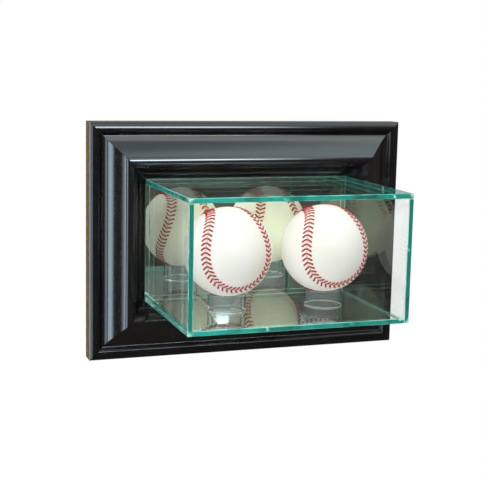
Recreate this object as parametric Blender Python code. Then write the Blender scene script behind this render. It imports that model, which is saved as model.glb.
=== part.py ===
"""Wall-hung display case for two baseballs: a glass box standing out of a scooped picture-frame moulding.

X runs to the right, Y into the wall and Z up. The origin is on the flat back of the top rail, at the
middle of its length, and the wall is the plane Y = 0.
"""
from math import asin, cos, pi, radians, sin, sqrt

import bmesh
import bpy
from mathutils import Matrix, Vector

MM = 0.001
INCH = 0.0254

# Gap between pieces that touch, and how far a cutter runs past the face that it opens.
GAP = 0.3 * MM
OVERRUN = 1.0 * MM

# The balls, and the free space around them in the case.
BALL_DIAMETER = 73.7 * MM
SPACE_BETWEEN_BALLS = 12.8 * MM
SPACE_LEFT_OF_BALLS = 11.6 * MM
SPACE_RIGHT_OF_BALLS = 8.2 * MM
SPACE_BEHIND_BALL = 32.2 * MM
SPACE_BEFORE_BALL = 23.4 * MM
HEADROOM = 12.2 * MM
BALL_TURN = (radians(-13.3), radians(-16.2), radians(-43.3))

# A ball's leather, seam and stitches. The seam's shares shape its curve on a ball of radius 1.
LEATHER = 1.3 * MM
SEAM_GAP = 0.8 * MM
CORE_CLEARANCE = 0.6 * MM
SEAM_LOBE_SHARE = 0.344
SEAM_SWING_SHARE = 0.811
STITCHES = 108
STITCH_REACH = 4.0 * MM
STITCH_SLANT = 2.2 * MM
THREAD_WIDTH = 0.9 * MM
THREAD_HEIGHT = 0.4 * MM

# The clear tubes that the balls sit on.
RISER_DIAMETER = 1.25 * INCH
RISER_WALL = 0.125 * INCH
RISER_HEIGHT = 13.5 * MM

# The glass box.
GLASS = 4.0 * MM
ARRIS = 0.4 * MM
BEAD_SIZE = 1.2 * MM

# The moulding's section. Its face is four smooth runs, as shares of its width and of its depth at the crest.
MOULDING_WIDTH = 49.1 * MM
MOULDING_DEPTH = 27.5 * MM
SIDE_DEPTH = 14.0 * MM
LIP_FRONT = 13.5 * MM
LIP_THICKNESS = 3.0 * MM
LIP_FLAT = 2.6 * MM
RABBET_WIDTH = 6.0 * MM
SIGHT_CLEARANCE = 0.5 * MM
MITRE_GAP = 0.3 * MM
BEAD_SHARES = [(0.03, 0.560), (0.08, 0.593), (0.14, 0.604), (0.185, 0.565), (0.21, 0.495)]
SCOOP_SHARES = [(0.30, 0.553), (0.39, 0.655), (0.49, 0.790), (0.575, 0.920)]
CREST_SHARES = [(0.61, 0.971), (0.65, 0.993), (0.695, 1.0), (0.73, 0.985), (0.79, 0.898), (0.83, 0.709)]
COVE_SHARES = [(0.855, 0.595), (0.89, 0.527), (0.945, 0.516)]

# The mirror and the board behind it.
MIRROR_THICKNESS = 3.0 * MM
BOARD_THICKNESS = 3.0 * MM
PANEL_CLEARANCE = 0.5 * MM

# Turn buttons, their pockets in the back of the moulding, and their screws.
BUTTON_THICKNESS = 1.5 * MM
BUTTON_RADIUS = 4.0 * MM
BUTTON_REACH = 10.0 * MM
BUTTON_INSET = 7.1 * MM
BUTTON_SHIFT = 5.0 * MM
BUTTON_ROOM = 0.6 * MM
BUTTON_SCREW_RADIUS = 1.4 * MM
BUTTON_SCREW_LENGTH = 10.0 * MM
BUTTON_HEAD_RADIUS = 2.7 * MM
BUTTON_HEAD_HEIGHT = 1.2 * MM

# Keyhole hangers let into the back of the top rail, and their countersunk screws.
PLATE_LENGTH = 44.0 * MM
PLATE_HEIGHT = 14.0 * MM
PLATE_THICKNESS = 1.5 * MM
PLATE_INSET = 26.6 * MM
KEYHOLE_RADIUS = 4.25 * MM
KEYHOLE_SLOT_RADIUS = 2.25 * MM
KEYHOLE_TRAVEL = 4.0 * MM
KEYHOLE_DROP = 1.5 * MM
KEYHOLE_POCKET_DEPTH = 6.0 * MM
PLATE_RIM = 0.3 * MM
POCKET_HALF_WIDTH = 5.5 * MM
PLATE_SCREW_INSET = 5.0 * MM
PLATE_SCREW_RADIUS = 1.25 * MM
PLATE_SCREW_HEAD_RADIUS = 2.4 * MM
PLATE_SCREW_HEAD_HEIGHT = 1.2 * MM
PLATE_SCREW_LENGTH = 9.0 * MM

# V-shaped nails that join the mitres from behind.
NAIL_ARM = 4.5 * MM
NAIL_THICKNESS = 0.6 * MM
NAIL_LENGTH = 7.0 * MM
NAIL_INSETS = (13.0 * MM, 35.0 * MM)

# Where the case hangs: from the frame's top edge down to the origin.
HANG_DROP = 14.5 * MM

# How many sides round shapes have, and how many parts smooth lines have.
ROUND_SIDES = 32
SMALL_SIDES = 12
FACE_STEPS = 4
PANEL_STEPS = 30
PANEL_RIBS = 12
CORE_RINGS = 14
CORE_SIDES = 24
SEAM_SAMPLES = 720

# Sizes worked out from those above.
BALL_RADIUS = BALL_DIAMETER / 2
RISER_BORE = RISER_DIAMETER - 2 * RISER_WALL
STITCHED_RADIUS = BALL_RADIUS + GAP + THREAD_HEIGHT
BALL_SEAT = sqrt(STITCHED_RADIUS ** 2 - (RISER_BORE / 2) ** 2)
INNER_WIDTH = SPACE_LEFT_OF_BALLS + 2 * BALL_DIAMETER + SPACE_BETWEEN_BALLS + SPACE_RIGHT_OF_BALLS
INNER_HEIGHT = 2 * GAP + RISER_HEIGHT + BALL_SEAT + BALL_RADIUS + HEADROOM
CASE_WIDTH = INNER_WIDTH + 2 * GLASS
CASE_HEIGHT = INNER_HEIGHT + 2 * GLASS
SIGHT_WIDTH = CASE_WIDTH + 2 * SIGHT_CLEARANCE
SIGHT_HEIGHT = CASE_HEIGHT + 2 * SIGHT_CLEARANCE
FRAME_WIDTH = SIGHT_WIDTH + 2 * MOULDING_WIDTH
FRAME_HEIGHT = SIGHT_HEIGHT + 2 * MOULDING_WIDTH
CASE_Z = HANG_DROP - FRAME_HEIGHT / 2

RABBET_EDGE = MOULDING_WIDTH - RABBET_WIDTH
RABBET_DEPTH = LIP_FRONT - LIP_THICKNESS
MIRROR_FRONT = RABBET_DEPTH - GAP
MIRROR_BACK = MIRROR_FRONT - MIRROR_THICKNESS
BOARD_FRONT = MIRROR_BACK - GAP
BOARD_BACK = BOARD_FRONT - BOARD_THICKNESS
BUTTON_FRONT = BOARD_BACK - GAP
BUTTON_BACK = BUTTON_FRONT - BUTTON_THICKNESS
PANEL_WIDTH = SIGHT_WIDTH + 2 * (RABBET_WIDTH - PANEL_CLEARANCE)
PANEL_HEIGHT = SIGHT_HEIGHT + 2 * (RABBET_WIDTH - PANEL_CLEARANCE)

LEFT_BALL_X = SPACE_LEFT_OF_BALLS + BALL_RADIUS - INNER_WIDTH / 2
RIGHT_BALL_X = INNER_WIDTH / 2 - BALL_RADIUS - SPACE_RIGHT_OF_BALLS
BALL_Y = -(MIRROR_FRONT + SPACE_BEHIND_BALL + BALL_RADIUS)
CASE_FRONT = MIRROR_FRONT + SPACE_BEHIND_BALL + BALL_DIAMETER + SPACE_BEFORE_BALL + GLASS
FLOOR_Z = CASE_Z - INNER_HEIGHT / 2
CEILING_Z = CASE_Z + INNER_HEIGHT / 2
RISER_FOOT = FLOOR_Z + GAP
BALL_Z = RISER_FOOT + RISER_HEIGHT + GAP + BALL_SEAT

BUTTON_U = RABBET_EDGE - BUTTON_INSET
PLATE_X = FRAME_WIDTH / 2 - PLATE_INSET - PLATE_LENGTH / 2
PLATE_SCREW_X = PLATE_LENGTH / 2 - PLATE_SCREW_INSET
PLATE_U = HANG_DROP
PLATE_RECESS = PLATE_THICKNESS + 2 * GAP

# The four sides of the frame: name, turn about Y, length, and half of the frame's size across the side.
SIDES = {
    "top": ("frame_top_rail", 0, FRAME_WIDTH, FRAME_HEIGHT / 2),
    "right": ("frame_right_stile", pi / 2, FRAME_HEIGHT, FRAME_WIDTH / 2),
    "bottom": ("frame_bottom_rail", pi, FRAME_WIDTH, FRAME_HEIGHT / 2),
    "left": ("frame_left_stile", -pi / 2, FRAME_HEIGHT, FRAME_WIDTH / 2)}


def clear_scene():
    """Empty the file, so that a second run starts afresh."""
    for old in list(bpy.data.objects):
        bpy.data.objects.remove(old, do_unlink=True)


def material(name, colour, roughness, metallic=0.0, transmission=0.0):
    """A Principled material, made once."""
    made = bpy.data.materials.get(name) or bpy.data.materials.new(name)
    made.use_nodes = True
    made.diffuse_color = (*colour, 1.0)
    shader = made.node_tree.nodes["Principled BSDF"]
    shader.inputs["Base Color"].default_value = (*colour, 1.0)
    shader.inputs["Roughness"].default_value = roughness
    shader.inputs["Metallic"].default_value = metallic
    shader.inputs["Transmission Weight"].default_value = transmission
    return made


def black_lacquer():
    """The moulding's finish."""
    return material("black_lacquer", (0.02, 0.02, 0.022), 0.3)


def clear_glass():
    """The panes."""
    return material("clear_glass", (0.75, 0.95, 0.88), 0.02, transmission=1.0)


def silvered_glass():
    """The mirror."""
    return material("silvered_glass", (0.78, 0.86, 0.8), 0.02, metallic=1.0)


def clear_acrylic():
    """The risers."""
    return material("clear_acrylic", (0.94, 0.96, 0.95), 0.06, transmission=1.0)


def clear_sealant():
    """The bead around the glass box."""
    return material("clear_sealant", (0.78, 0.86, 0.83), 0.35)


def hardboard():
    """The board behind the mirror."""
    return material("hardboard", (0.33, 0.22, 0.13), 0.8)


def zinc():
    """Nails, screws, turn buttons and keyhole plates."""
    return material("zinc", (0.62, 0.63, 0.65), 0.35, metallic=1.0)


def white_leather():
    """The balls' covers."""
    return material("white_leather", (0.87, 0.86, 0.81), 0.45)


def red_thread():
    """The balls' stitches."""
    return material("red_thread", (0.55, 0.02, 0.03), 0.6)


def wound_yarn():
    """The balls' cores."""
    return material("wound_yarn", (0.63, 0.6, 0.52), 0.9)


def finish(name, shape, look, smooth=False):
    """Turn a bmesh into a named object whose faces point out."""
    bmesh.ops.recalc_face_normals(shape, faces=shape.faces)
    mesh = bpy.data.meshes.new(name)
    shape.to_mesh(mesh)
    shape.free()
    if smooth:
        mesh.shade_smooth()
        mesh.set_sharp_from_angle(angle=radians(35))
    made = bpy.data.objects.new(name, mesh)
    bpy.context.scene.collection.objects.link(made)
    if look:
        mesh.materials.append(look)
    return made


def empty(name, place):
    """A parent for pieces that move together."""
    made = bpy.data.objects.new(name, None)
    bpy.context.scene.collection.objects.link(made)
    made.location = place
    return made


def add_box(shape, low, high):
    """Add a box between two corners."""
    middle = (Vector(low) + Vector(high)) / 2
    size = Vector(high) - Vector(low)
    place = Matrix.Translation(middle) @ Matrix.Diagonal((*size, 1.0))
    bmesh.ops.create_cube(shape, size=1.0, matrix=place)


def add_prism(shape, outline, front, back):
    """Add a flat shape, given as (x, z) points, between two depths along Y."""
    near = [shape.verts.new((x, front, z)) for x, z in outline]
    far = [shape.verts.new((x, back, z)) for x, z in outline]
    shape.faces.new(near)
    shape.faces.new(reversed(far))
    for i in range(len(outline)):
        shape.faces.new((near[i - 1], far[i - 1], far[i], near[i]))


def add_turned(shape, profile, x, z, sides):
    """Turn a profile of (radius, y) points, from one end on the axis to the other, about Y."""
    rings = []
    for radius, y in profile:
        if radius == 0:
            rings.append([shape.verts.new((x, y, z))] * sides)
        else:
            turns = [2 * pi * i / sides for i in range(sides)]
            rings.append([shape.verts.new((x + radius * cos(a), y, z + radius * sin(a))) for a in turns])
    for near, far in zip(rings, rings[1:]):
        for i in range(sides):
            corners = dict.fromkeys((near[i - 1], far[i - 1], far[i], near[i]))
            shape.faces.new(tuple(corners))


def block(name, low, high, look, edge=0.0):
    """A box, with its edges taken off where an edge width is given."""
    shape = bmesh.new()
    add_box(shape, low, high)
    if edge:
        bmesh.ops.bevel(shape, geom=shape.edges, offset=edge, segments=1, affect="EDGES")
    return finish(name, shape, look)


def cut(target, shape, name):
    """Cut a shape, modelled in the target's own coordinates, out of the target."""
    cutter = finish(name, shape, None)
    cutter.parent = target
    cutter.hide_render = True
    cutter.display_type = "WIRE"
    step = target.modifiers.new(name, "BOOLEAN")
    step.operation = "DIFFERENCE"
    step.solver = "EXACT"
    step.object = cutter


def smooth_run(points):
    """A smooth line through the points, with FACE_STEPS parts between each two."""
    line = []
    for i in range(len(points) - 1):
        before = Vector(points[max(i - 1, 0)])
        first = Vector(points[i])
        last = Vector(points[i + 1])
        after = Vector(points[min(i + 2, len(points) - 1)])
        for k in range(FACE_STEPS):
            s = k / FACE_STEPS
            lean = (last - before) * s
            bend = (2 * before - 5 * first + 4 * last - after) * s ** 2
            twist = (3 * first - before - 3 * last + after) * s ** 3
            line.append(tuple(first + (lean + bend + twist) / 2))
    return line + [tuple(points[-1])]


def moulding_outline():
    """The moulding's section as (inward, forward) points, from the wall round the face to the rabbet."""
    face = [(0, SIDE_DEPTH)]
    for run in (BEAD_SHARES, SCOOP_SHARES, CREST_SHARES, COVE_SHARES):
        face += smooth_run([face[-1]] + [(u * MOULDING_WIDTH, d * MOULDING_DEPTH) for u, d in run])[1:]
    lip = [(MOULDING_WIDTH - LIP_FLAT, LIP_FRONT), (MOULDING_WIDTH, LIP_FRONT), (MOULDING_WIDTH, RABBET_DEPTH)]
    back = [(RABBET_EDGE, RABBET_DEPTH), (RABBET_EDGE, 0)]
    return [(0, 0)] + face + lip + back


def mitred_length(length, across):
    """A length of moulding along X with both ends mitred, its face forward and its sight edge down."""
    shape = bmesh.new()
    back_off = MITRE_GAP / sqrt(2)
    ends = []
    for side in (-1, 1):
        reach = length / 2 - back_off
        ends.append([shape.verts.new((side * (reach - u), -d, across - u)) for u, d in moulding_outline()])
    left, right = ends
    shape.faces.new(left)
    shape.faces.new(reversed(right))
    for i in range(len(left)):
        shape.faces.new((left[i - 1], right[i - 1], right[i], left[i]))
    return shape


def button_pocket(across):
    """The room in the back of the moulding in which a turn button swings, with its screw's pilot hole."""
    shape = bmesh.new()
    room = BUTTON_RADIUS + BUTTON_ROOM
    pivot = across - BUTTON_U
    low = (-BUTTON_SHIFT - room, -BOARD_BACK, across - RABBET_EDGE - OVERRUN)
    high = (-BUTTON_SHIFT + BUTTON_REACH + room, OVERRUN, pivot + room)
    add_box(shape, low, high)
    return shape


def button_pilot(across):
    """The hole for a turn button's screw."""
    shape = bmesh.new()
    radius = BUTTON_SCREW_RADIUS + GAP
    bottom = -(BUTTON_BACK - GAP) - BUTTON_SCREW_LENGTH - GAP
    profile = [(0, bottom), (radius, bottom), (radius, OVERRUN - BOARD_BACK), (0, OVERRUN - BOARD_BACK)]
    add_turned(shape, profile, -BUTTON_SHIFT, across - BUTTON_U, SMALL_SIDES)
    return shape


def nail_outline(grow):
    """A V in its own plane: the point at zero, the arms running off to both sides of the first axis."""
    root = sqrt(2)
    tip = -grow * root
    reach = (NAIL_ARM + 2 * grow) / root
    wall = (NAIL_THICKNESS + 2 * grow) / root
    far = tip + reach
    return [(tip, 0), (far, reach), (far + wall, reach - wall), (tip + 2 * wall, 0),
            (far + wall, wall - reach), (far, -reach)]


def add_nail(shape, across_x, across_z, inset, front, back, grow):
    """Add one V nail, or its slot, on the mitre of the corner that the signs name."""
    root = sqrt(2)
    corner_x = across_x * (FRAME_WIDTH / 2 - inset)
    corner_z = across_z * (FRAME_HEIGHT / 2 - inset)
    points = []
    for along, aside in nail_outline(grow):
        points.append((corner_x + across_x * (along + aside) / root, corner_z + across_z * (along - aside) / root))
    add_prism(shape, points, front, back)


def nail_slots():
    """Slots for all the V nails, about the frame's centre."""
    shape = bmesh.new()
    for across_x in (-1, 1):
        for across_z in (-1, 1):
            for inset in NAIL_INSETS:
                add_nail(shape, across_x, across_z, inset, -NAIL_LENGTH - 2 * GAP, OVERRUN, GAP)
    return shape


def plate_recess(x):
    """The recess for a keyhole plate and the deeper pocket for the wall screw's head."""
    shape = bmesh.new()
    z = FRAME_HEIGHT / 2 - PLATE_U
    half_length = PLATE_LENGTH / 2 + GAP
    half_height = PLATE_HEIGHT / 2 + GAP
    add_box(shape, (x - half_length, -PLATE_RECESS, z - half_height), (x + half_length, OVERRUN, z + half_height))
    return shape


def plate_pocket(x):
    """The deeper pocket behind a keyhole, for the head of the wall screw."""
    shape = bmesh.new()
    z = FRAME_HEIGHT / 2 - PLATE_U
    half_height = PLATE_HEIGHT / 2 - PLATE_RIM
    low = (x - POCKET_HALF_WIDTH, -PLATE_RECESS - KEYHOLE_POCKET_DEPTH, z - half_height)
    high = (x + POCKET_HALF_WIDTH, OVERRUN - PLATE_RECESS, z + half_height)
    add_box(shape, low, high)
    return shape


def plate_pilots(x):
    """The two screw holes under a keyhole plate."""
    shape = bmesh.new()
    radius = PLATE_SCREW_RADIUS + GAP
    bottom = -2 * GAP - PLATE_SCREW_LENGTH
    for side in (-1, 1):
        place = x + side * PLATE_SCREW_X
        profile = [(0, bottom), (radius, bottom), (radius, OVERRUN - PLATE_RECESS), (0, OVERRUN - PLATE_RECESS)]
        add_turned(shape, profile, place, FRAME_HEIGHT / 2 - PLATE_U, SMALL_SIDES)
    return shape


def make_frame():
    """The four mitred lengths of moulding, with what is cut into their backs."""
    for name, turn, length, across in SIDES.values():
        rail = finish(name, mitred_length(length, across), black_lacquer())
        rail.location = (0, 0, CASE_Z)
        rail.rotation_euler = (0, turn, 0)
        cut(rail, button_pocket(across), name + "_button_pocket")
        cut(rail, button_pilot(across), name + "_button_pilot")
        slots = nail_slots()
        slots.transform(Matrix.Rotation(-turn, 4, "Y"))
        cut(rail, slots, name + "_nail_slots")
        if turn == 0:
            for side, x in (("left", -PLATE_X), ("right", PLATE_X)):
                cut(rail, plate_recess(x), "plate_recess_" + side)
                cut(rail, plate_pocket(x), "plate_pocket_" + side)
                cut(rail, plate_pilots(x), "plate_pilots_" + side)


def make_nails():
    """Two V nails at each corner."""
    for height, across_z in (("top", 1), ("bottom", -1)):
        for side, across_x in (("left", -1), ("right", 1)):
            for place, inset in zip(("outer", "inner"), NAIL_INSETS):
                shape = bmesh.new()
                add_nail(shape, across_x, across_z, inset, -NAIL_LENGTH - GAP, -GAP, 0)
                nail = finish("v_nail_" + height + "_" + side + "_" + place, shape, zinc())
                nail.location = (0, 0, CASE_Z)


def make_glass_box():
    """Five panes: the top lies over the sides, the bottom between them, and the front within the ring."""
    half_width = CASE_WIDTH / 2
    half_height = CASE_HEIGHT / 2
    inner = INNER_WIDTH / 2
    top = CASE_Z + half_height
    bottom = CASE_Z - half_height
    front, back = -CASE_FRONT, -RABBET_DEPTH
    glass = clear_glass()
    block("glass_top_pane", (-half_width, front, CEILING_Z), (half_width, back, top), glass, ARRIS)
    block("glass_left_pane", (-half_width, front, bottom), (-inner, back, CEILING_Z - GAP), glass, ARRIS)
    block("glass_right_pane", (inner, front, bottom), (half_width, back, CEILING_Z - GAP), glass, ARRIS)
    block("glass_bottom_pane", (GAP - inner, front, bottom), (inner - GAP, back, FLOOR_Z), glass, ARRIS)
    block("glass_front_pane", (GAP - inner, front, FLOOR_Z + GAP),
          (inner - GAP, front + GLASS, CEILING_Z - GAP), glass, ARRIS)


def make_glazing_bead():
    """A thin bead in the corner between the glass box and the frame's lip."""
    shape = bmesh.new()
    front = -LIP_FRONT - GAP - BEAD_SIZE
    back = -LIP_FRONT - GAP
    loops = []
    for grow in (GAP, GAP + BEAD_SIZE):
        x = CASE_WIDTH / 2 + grow
        z = CASE_HEIGHT / 2 + grow
        corners = [(-x, -z), (x, -z), (x, z), (-x, z)]
        loops.append([[shape.verts.new((a, y, b)) for a, b in corners] for y in (front, back)])
    (inner_front, inner_back), (outer_front, outer_back) = loops
    for i in range(len(inner_front)):
        for first, second in ((inner_front, outer_front), (outer_front, outer_back), (outer_back, inner_back),
                              (inner_back, inner_front)):
            shape.faces.new((first[i - 1], second[i - 1], second[i], first[i]))
    bead = finish("glazing_bead", shape, clear_sealant())
    bead.location = (0, 0, CASE_Z)


def make_rear_panel():
    """The mirror and its board, on one parent, because they draw out together."""
    parent = empty("rear_panel", (0, 0, CASE_Z))
    half_width = PANEL_WIDTH / 2
    half_height = PANEL_HEIGHT / 2
    for name, front, back, look in (("mirror_pane", MIRROR_FRONT, MIRROR_BACK, silvered_glass()),
                                    ("backing_board", BOARD_FRONT, BOARD_BACK, hardboard())):
        sheet = block(name, (-half_width, -front, -half_height), (half_width, -back, half_height), look)
        sheet.parent = parent


def button_outline():
    """A turn button lying along +X, its screw's centre at zero."""
    points = []
    half = ROUND_SIDES // 4
    for i in range(half + 1):
        turn = pi / 2 + pi * i / half
        points.append((BUTTON_RADIUS * cos(turn), BUTTON_RADIUS * sin(turn)))
    for i in range(half + 1):
        turn = -pi / 2 + pi * i / half
        points.append((BUTTON_REACH + BUTTON_RADIUS * cos(turn), BUTTON_RADIUS * sin(turn)))
    return points


def make_buttons():
    """Four turn buttons, parked along the moulding, each on its screw."""
    for side, (_, turn, _, across) in SIDES.items():
        shape = bmesh.new()
        add_prism(shape, button_outline(), -BUTTON_FRONT, -BUTTON_BACK)
        button = finish("turn_button_" + side, shape, zinc(), smooth=True)
        pivot = Matrix.Rotation(turn, 4, "Y") @ Vector((-BUTTON_SHIFT, 0, across - BUTTON_U))
        button.location = pivot + Vector((0, 0, CASE_Z))
        button.rotation_euler = (0, turn, 0)
        hole = bmesh.new()
        radius = BUTTON_SCREW_RADIUS + GAP
        near = -BUTTON_FRONT - OVERRUN
        far = OVERRUN - BUTTON_BACK
        add_turned(hole, [(0, near), (radius, near), (radius, far), (0, far)], 0, 0, SMALL_SIDES)
        cut(button, hole, "turn_button_hole_" + side)
        screw = bmesh.new()
        under = -BUTTON_BACK + GAP
        end = under - BUTTON_SCREW_LENGTH
        profile = [(0, end), (BUTTON_SCREW_RADIUS, end), (BUTTON_SCREW_RADIUS, under), (BUTTON_HEAD_RADIUS, under),
                   (BUTTON_HEAD_RADIUS, under + BUTTON_HEAD_HEIGHT), (0, under + BUTTON_HEAD_HEIGHT)]
        add_turned(screw, profile, 0, 0, SMALL_SIDES)
        fixing = finish("turn_button_screw_" + side, screw, zinc(), smooth=True)
        fixing.location = button.location


def keyhole_outline():
    """The keyhole: a round mouth with a slot above it, in a plate whose centre is at zero."""
    points = []
    lean = asin(KEYHOLE_SLOT_RADIUS / KEYHOLE_RADIUS)
    for i in range(SMALL_SIDES + 1):
        turn = pi / 2 + lean + (2 * pi - 2 * lean) * i / SMALL_SIDES
        points.append((KEYHOLE_RADIUS * cos(turn), KEYHOLE_RADIUS * sin(turn) - KEYHOLE_DROP))
    half = SMALL_SIDES // 2
    for i in range(half + 1):
        turn = pi * i / half
        points.append((KEYHOLE_SLOT_RADIUS * cos(turn),
                       KEYHOLE_TRAVEL + KEYHOLE_SLOT_RADIUS * sin(turn) - KEYHOLE_DROP))
    return points


def make_hanger(side, x):
    """A keyhole plate set into the top rail, and the two countersunk screws that hold it."""
    place_z = FRAME_HEIGHT / 2 - PLATE_U + CASE_Z
    low = (-PLATE_LENGTH / 2, -GAP - PLATE_THICKNESS, -PLATE_HEIGHT / 2)
    high = (PLATE_LENGTH / 2, -GAP, PLATE_HEIGHT / 2)
    plate = block("keyhole_plate_" + side, low, high, zinc())
    plate.location = (x, 0, place_z)
    back = high[1]
    front = low[1]
    keyhole = bmesh.new()
    add_prism(keyhole, keyhole_outline(), front - OVERRUN, back + OVERRUN)
    cut(plate, keyhole, "keyhole_" + side)
    end = back - PLATE_SCREW_LENGTH
    head = back - PLATE_SCREW_HEAD_HEIGHT
    wide = PLATE_SCREW_HEAD_RADIUS
    thin = PLATE_SCREW_RADIUS
    for place, way in (("left", -1), ("right", 1)):
        offset = way * PLATE_SCREW_X
        name = "keyhole_" + side + "_screw_" + place
        mouth = [(0, front - OVERRUN), (thin + GAP, front - OVERRUN), (thin + GAP, head), (wide + GAP, back),
                 (wide + GAP, back + OVERRUN), (0, back + OVERRUN)]
        sink = bmesh.new()
        add_turned(sink, mouth, offset, 0, SMALL_SIDES)
        cut(plate, sink, name + "_hole")
        shape = bmesh.new()
        add_turned(shape, [(0, end), (thin, end), (thin, head), (wide, back), (0, back)], 0, 0, SMALL_SIDES)
        screw = finish(name, shape, zinc(), smooth=True)
        screw.location = (x + offset, 0, place_z)


def make_riser(name, x):
    """A short clear tube, open at both ends."""
    shape = bmesh.new()
    rings = []
    for radius in (RISER_BORE / 2, RISER_DIAMETER / 2):
        for z in (0, RISER_HEIGHT):
            turns = [2 * pi * i / ROUND_SIDES for i in range(ROUND_SIDES)]
            rings.append([shape.verts.new((radius * cos(a), radius * sin(a), z)) for a in turns])
    inner_low, inner_high, outer_low, outer_high = rings
    for i in range(ROUND_SIDES):
        for first, second in ((inner_low, outer_low), (outer_low, outer_high), (outer_high, inner_high),
                              (inner_high, inner_low)):
            shape.faces.new((first[i - 1], second[i - 1], second[i], first[i]))
    riser = finish(name, shape, clear_acrylic(), smooth=True)
    riser.location = (x, BALL_Y, RISER_FOOT)


def seam_frame(t):
    """A point of the seam on a ball of radius 1, the seam's direction there, and the direction across it."""
    body = 1 - SEAM_LOBE_SHARE
    raw = Vector((body * cos(t) + SEAM_LOBE_SHARE * cos(3 * t),
                  body * sin(t) - SEAM_LOBE_SHARE * sin(3 * t),
                  SEAM_SWING_SHARE * sin(2 * t)))
    move = Vector((-body * sin(t) - 3 * SEAM_LOBE_SHARE * sin(3 * t),
                   body * cos(t) - 3 * SEAM_LOBE_SHARE * cos(3 * t),
                   2 * SEAM_SWING_SHARE * cos(2 * t)))
    point = raw.normalized()
    along = (move - move.dot(point) * point).normalized()
    return point, along, along.cross(point)


def panel_edge(t, side):
    """A point on the edge of one leather panel, half of the seam's gap away from the seam."""
    point, along, aside = seam_frame(t)
    return (point + aside * side * SEAM_GAP / BALL_DIAMETER).normalized()


def make_cover(name, parent, start, side):
    """One of the two leather panels: ribs from each point of its edge to the point that faces it."""
    shape = bmesh.new()
    skins = []
    for radius in (BALL_RADIUS, BALL_RADIUS - LEATHER):
        rows = []
        for i in range(PANEL_STEPS + 1):
            first = panel_edge(start + pi * i / PANEL_STEPS, side)
            if i in (0, PANEL_STEPS):
                rows.append([shape.verts.new(first * radius)])
                continue
            last = panel_edge(start - pi * i / PANEL_STEPS, side)
            shares = [k / PANEL_RIBS for k in range(PANEL_RIBS + 1)]
            rows.append([shape.verts.new(first.slerp(last, share) * radius) for share in shares])
        skins.append(rows)
        for lower, upper in zip(rows, rows[1:]):
            for k in range(PANEL_RIBS):
                if len(lower) == 1:
                    shape.faces.new((lower[0], upper[k], upper[k + 1]))
                elif len(upper) == 1:
                    shape.faces.new((lower[k], upper[0], lower[k + 1]))
                else:
                    shape.faces.new((lower[k], upper[k], upper[k + 1], lower[k + 1]))
    outer, inner = skins
    for end in (0, -1):
        for i in range(PANEL_STEPS):
            shape.faces.new((outer[i][end], outer[i + 1][end], inner[i + 1][end], inner[i][end]))
    cover = finish(name, shape, white_leather(), smooth=True)
    cover.parent = parent


def seam_stations():
    """Seam positions at even spacing, one for each pair of stitches."""
    points = [seam_frame(2 * pi * i / SEAM_SAMPLES)[0] for i in range(SEAM_SAMPLES + 1)]
    travelled = [0.0]
    for near, far in zip(points, points[1:]):
        travelled.append(travelled[-1] + (far - near).length)
    stations = []
    i = 0
    for k in range(STITCHES):
        wanted = travelled[-1] * k / STITCHES
        while travelled[i + 1] < wanted:
            i += 1
        share = (wanted - travelled[i]) / (travelled[i + 1] - travelled[i])
        stations.append(2 * pi * (i + share) / SEAM_SAMPLES)
    return stations


def stitch_route():
    """Points of the thread: across the seam as a V, on to the next hole on that side, and back as a V."""
    radius = BALL_RADIUS + GAP
    route = []
    for k, t in enumerate(seam_stations()):
        point, along, aside = seam_frame(t)
        side = 1 if k % 2 else -1
        foot = point * radius + along * STITCH_SLANT
        for place in (foot - aside * side * STITCH_REACH, point, foot + aside * side * STITCH_REACH):
            route.append(place.normalized() * radius)
    return route


def make_stitches(name, parent):
    """The red thread, as one unbroken run of V stitches round the whole seam."""
    shape = bmesh.new()
    route = stitch_route()
    rings = []
    for i, point in enumerate(route):
        came = (point - route[i - 1]).normalized()
        goes = (route[(i + 1) % len(route)] - point).normalized()
        rise = point.normalized()
        across = rise.cross(came + goes).normalized()
        spread = across * THREAD_WIDTH / 2 / across.dot(rise.cross(came).normalized())
        rings.append([shape.verts.new(p) for p in (point - spread, point + spread, point + rise * THREAD_HEIGHT)])
    for near, far in zip(rings, rings[1:] + rings[:1]):
        for i in range(len(near)):
            shape.faces.new((near[i - 1], far[i - 1], far[i], near[i]))
    stitches = finish(name, shape, red_thread())
    stitches.parent = parent


def make_ball(side, x):
    """A ball on its riser: a wound core, two leather panels and the stitches."""
    parent = empty("ball_" + side, (x, BALL_Y, BALL_Z))
    parent.rotation_euler = BALL_TURN
    shape = bmesh.new()
    core_radius = BALL_RADIUS - LEATHER - CORE_CLEARANCE
    bmesh.ops.create_uvsphere(shape, u_segments=CORE_SIDES, v_segments=CORE_RINGS, radius=core_radius)
    core = finish("ball_" + side + "_core", shape, wound_yarn(), smooth=True)
    core.parent = parent
    make_cover("ball_" + side + "_cover_a", parent, 3 * pi / 4, -1)
    make_cover("ball_" + side + "_cover_b", parent, pi / 4, 1)
    make_stitches("ball_" + side + "_stitches", parent)


def main():
    """Build the whole case."""
    clear_scene()
    make_frame()
    make_nails()
    make_glass_box()
    make_glazing_bead()
    make_rear_panel()
    make_buttons()
    for side, x in (("left", -PLATE_X), ("right", PLATE_X)):
        make_hanger(side, x)
    for side, x in (("left", LEFT_BALL_X), ("right", RIGHT_BALL_X)):
        make_riser("riser_" + side, x)
        make_ball(side, x)


main()
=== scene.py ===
"""Dresses a wall-hung display case for two baseballs: glass box, scooped frame, mirror, risers and balls."""
from math import cos, exp, pi, radians, sin

import bmesh
import bpy
from mathutils import Euler, Matrix, Vector
from mathutils.kdtree import KDTree


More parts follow.
